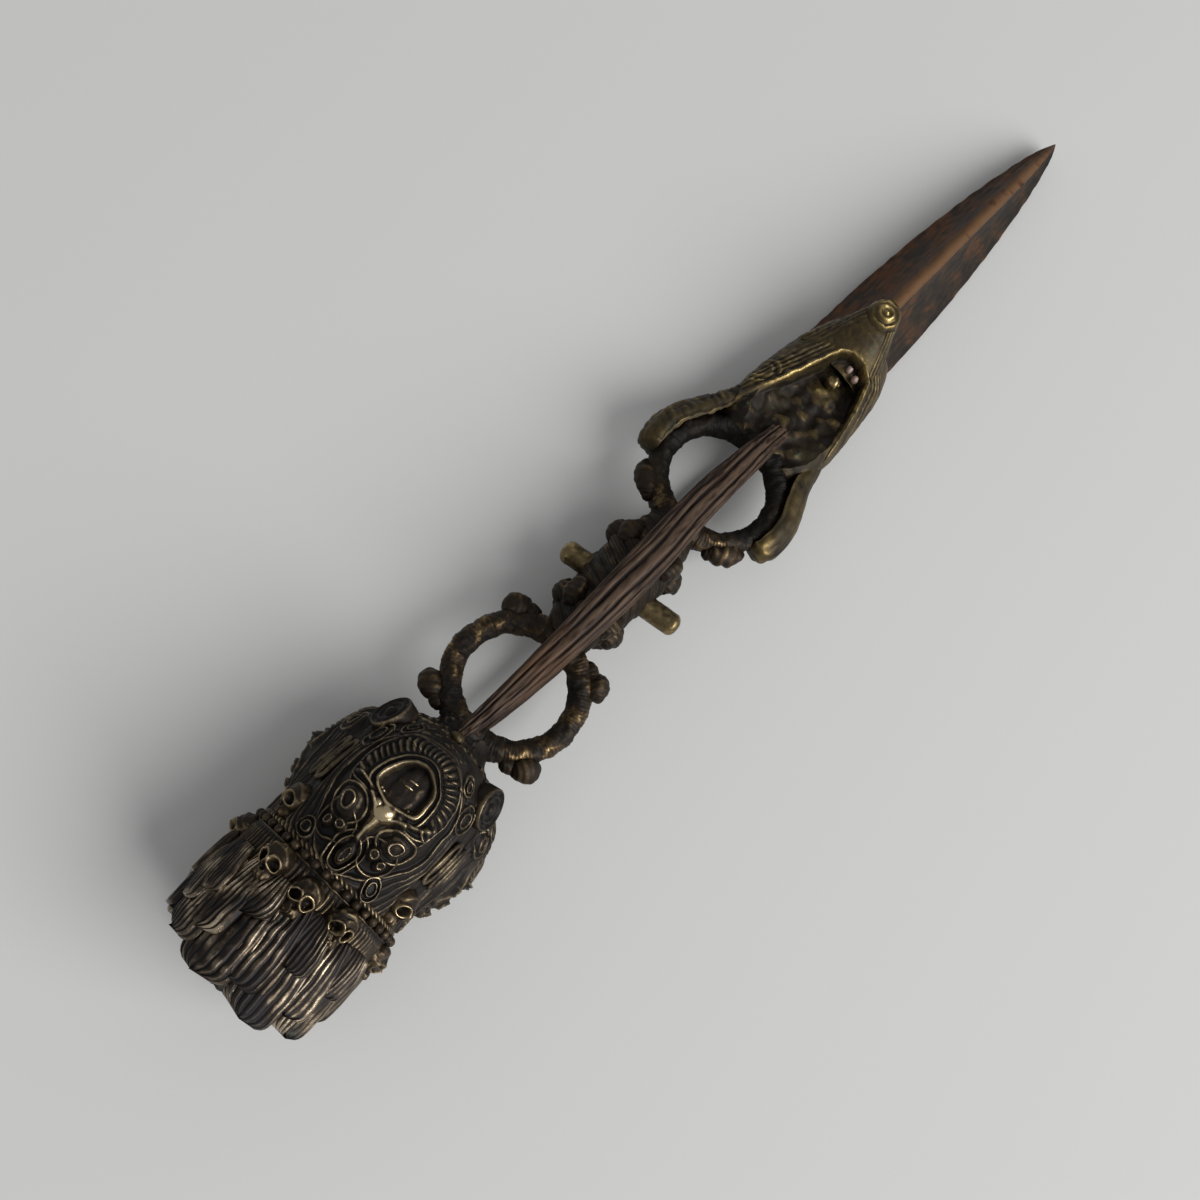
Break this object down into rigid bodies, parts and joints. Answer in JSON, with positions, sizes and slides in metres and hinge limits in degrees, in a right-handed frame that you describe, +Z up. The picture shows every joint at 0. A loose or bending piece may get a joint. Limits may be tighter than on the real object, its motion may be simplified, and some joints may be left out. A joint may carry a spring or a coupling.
{
  "type": "ritual dagger",
  "caption": "Ritual dagger with a wrathful many-faced head under a skull crown, openwork ring-and-knot handle, bowed iron bars, and a makara head gripping a finned iron blade.",
  "frame": {"origin": "on the ground, under the middle of the dagger as it lies on two of its faces and the makara's lip", "axes": "+X along the ground towards the tip of the blade, +Y to the left seen from above with the tip ahead, +Z up, out of the front face"},
  "size_m": [0.2693, 0.0396, 0.0377],
  "materials": {
    "head_brass": "dark handled patina, worn bright on the raised rims",
    "hair_brass": "nearly black patina, brown on the ridges",
    "crown_brass": "worn golden brass with dark recesses",
    "ring_brass": "brown olive patina",
    "makara_brass": "olive green patina with golden rims and verdigris",
    "bar_iron": "rusted wrought iron with long fibres",
    "blade_iron": "red-brown rust with dark patches and a pale ridge",
    "tooth": "pale worn paint"
  },
  "bodies": {
    "root": {"hair": "hair_brass", "crown_band": "crown_brass", "diadem_beads": "crown_brass", "crown_skulls": "crown_brass", "head_core": "head_brass", "face_front": "head_brass", "face_left": "head_brass", "face_right": "head_brass", "beards": "head_brass", "ear_loops": "crown_brass", "ear_discs": "head_brass", "neck_collar": "head_brass", "lower_ring": "ring_brass", "lower_ring_knobs": "ring_brass", "knot_core": "ring_brass", "knot_lobes": "ring_brass", "cross_rod": "ring_brass", "upper_ring": "ring_brass", "upper_ring_knobs": "ring_brass", "bar_front": "bar_iron", "bar_back": "bar_iron", "bar_toes": "crown_brass", "makara_head": "makara_brass", "jaw_left": "makara_brass", "jaw_right": "makara_brass", "snout_front": "makara_brass", "snout_back": "makara_brass", "makara_teeth": "tooth", "mouth_pearls": "crown_brass", "blade": "blade_iron"}
  },
  "joints": []
}
